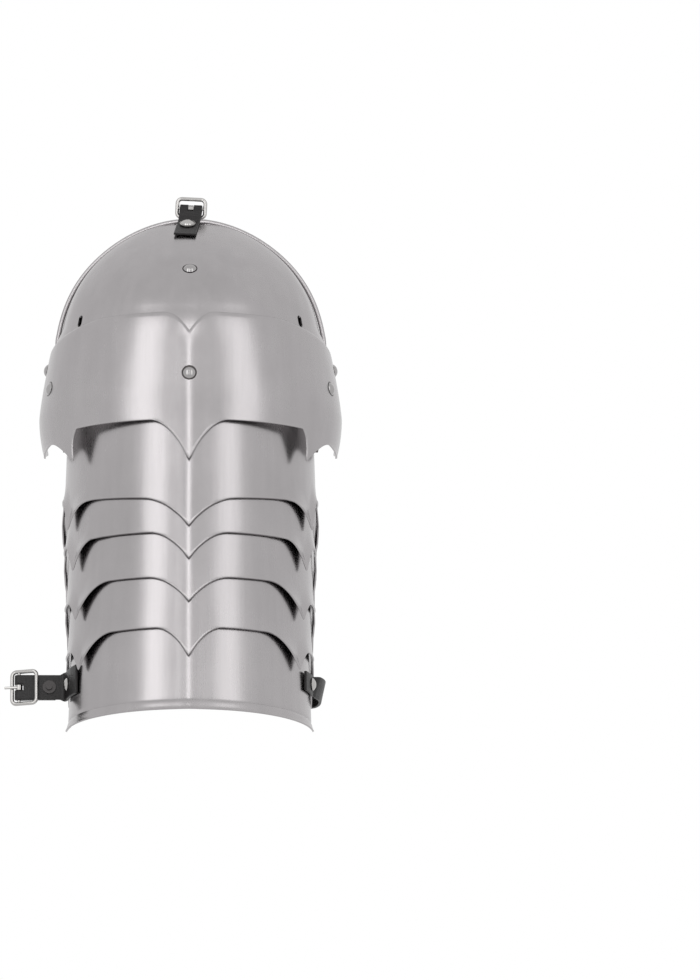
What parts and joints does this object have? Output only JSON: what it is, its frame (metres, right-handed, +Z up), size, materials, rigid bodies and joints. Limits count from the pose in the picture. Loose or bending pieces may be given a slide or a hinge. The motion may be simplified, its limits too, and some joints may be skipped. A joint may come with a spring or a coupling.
{
  "type": "spaulder",
  "caption": "Left spaulder of polished steel: a crown plate, a shoulder plate and a sleeve of overlapping arm lames with pointed edges, with leather straps and buckles.",
  "frame": {"origin": "on the arm's axis, level with the hem of the bottom lame", "axes": "+Z up the arm towards the neck, -Y outwards away from the body, +X towards the wearer's back or front across the arm"},
  "size_m": [0.2354, 0.1596, 0.3823],
  "materials": {
    "steel": "polished",
    "leather": "satin",
    "buckle_steel": "polished"
  },
  "bodies": {
    "main": {"main_plate": "steel", "main_rivets": "steel", "hanger_leathers": "leather", "crown_leather": "leather", "centre_leather_0": "leather"},
    "crown": {"crown_plate": "steel", "crown_rim_wire": "steel", "crown_rivet": "steel", "top_strap_base": "leather", "top_strap_rivet": "buckle_steel"},
    "lame_1": {"lame_1": "steel", "lame_1_rivets": "steel", "centre_rivet_1": "steel", "lame_2_rivets": "steel", "centre_leather_1": "leather"},
    "lame_2": {"lame_2": "steel", "centre_rivet_2": "steel", "lame_3_rivets": "steel", "centre_leather_2": "leather"},
    "lame_3": {"lame_3": "steel", "centre_rivet_3": "steel", "lame_4_rivets": "steel", "centre_leather_3": "leather"},
    "lame_4": {"lame_4": "steel", "centre_rivet_4": "steel", "bottom_lame_rivets": "steel", "centre_leather_4": "leather"},
    "bottom_lame": {"bottom_lame": "steel", "centre_rivet_5": "steel", "arm_strap_base": "leather", "arm_strap_base_rivet": "buckle_steel", "end_strap_base": "leather", "end_strap_base_rivet": "buckle_steel"},
    "arm_strap": {"arm_strap": "leather", "arm_strap_fold_rivet": "leather"},
    "arm_buckle": {"arm_buckle_frame": "buckle_steel"},
    "arm_prong": {"arm_buckle_prong": "buckle_steel"},
    "end_strap": {"end_strap": "leather"},
    "top_strap": {"top_strap": "leather"},
    "top_buckle": {"top_buckle_frame": "buckle_steel"},
    "top_prong": {"top_buckle_prong": "buckle_steel"}
  },
  "joints": [
    {"name": "crown_tilt", "type": "hinge", "parent": "main", "child": "crown", "pos_m": [0, -0.00125, 0.2595], "axis": [1, 0, 0], "range_deg": [0, 5], "deforming": ["crown_leather"]},
    {"name": "lame_1_swing", "type": "hinge", "parent": "main", "child": "lame_1", "pos_m": [0, 0, 0.208], "axis": [-1, 0, 0], "range_deg": [0, 4], "deforming": ["centre_leather_0"]},
    {"name": "lame_2_swing", "type": "hinge", "parent": "lame_1", "child": "lame_2", "pos_m": [0, 0.03054, 0.1205], "axis": [-1, 0, 0], "range_deg": [0, 7], "deforming": ["centre_leather_1"]},
    {"name": "lame_3_swing", "type": "hinge", "parent": "lame_2", "child": "lame_3", "pos_m": [0, 0.03009, 0.0977], "axis": [-1, 0, 0], "range_deg": [0, 5], "deforming": ["centre_leather_2"]},
    {"name": "lame_4_swing", "type": "hinge", "parent": "lame_3", "child": "lame_4", "pos_m": [0, 0.02972, 0.0677], "axis": [-1, 0, 0], "range_deg": [0, 7], "deforming": ["centre_leather_3"]},
    {"name": "bottom_lame_swing", "type": "hinge", "parent": "lame_4", "child": "bottom_lame", "pos_m": [0, 0.02945, 0.0295], "axis": [-1, 0, 0], "range_deg": [0, 5], "deforming": ["centre_leather_4"]},
    {"name": "arm_strap_bend", "type": "hinge", "parent": "bottom_lame", "child": "arm_strap", "pos_m": [-0.08853, -0.0046, 0.0315], "axis": [0, 0, -1], "range_deg": [0, 75]},
    {"name": "arm_buckle_turn", "type": "hinge", "parent": "arm_strap", "child": "arm_buckle", "pos_m": [-0.11913, -0.003, 0.0315], "axis": [0, 0, -1], "range_deg": [0, 50]},
    {"name": "arm_prong_turn", "type": "hinge", "parent": "arm_buckle", "child": "arm_prong", "pos_m": [-0.11913, -0.003, 0.0315], "axis": [0, 0, 1], "range_deg": [0, 90]},
    {"name": "end_strap_bend", "type": "hinge", "parent": "bottom_lame", "child": "end_strap", "pos_m": [0.08853, -0.0046, 0.0315], "axis": [0, 0, -1], "range_deg": [0, 50]},
    {"name": "top_strap_bend", "type": "hinge", "parent": "crown", "child": "top_strap", "pos_m": [-0.00094, -0.01606, 0.36485], "axis": [0.9925, -0.0977, -0.0728], "range_deg": [-20, 20]},
    {"name": "top_buckle_turn", "type": "hinge", "parent": "top_strap", "child": "top_buckle", "pos_m": [0.00015, -0.01166, 0.37391], "axis": [0.9925, -0.0977, -0.0728], "range_deg": [0, 15]},
    {"name": "top_prong_turn", "type": "hinge", "parent": "top_buckle", "child": "top_prong", "pos_m": [0.00015, -0.01166, 0.37391], "axis": [0.9925, -0.0977, -0.0728], "range_deg": [0, 40]}
  ]
}
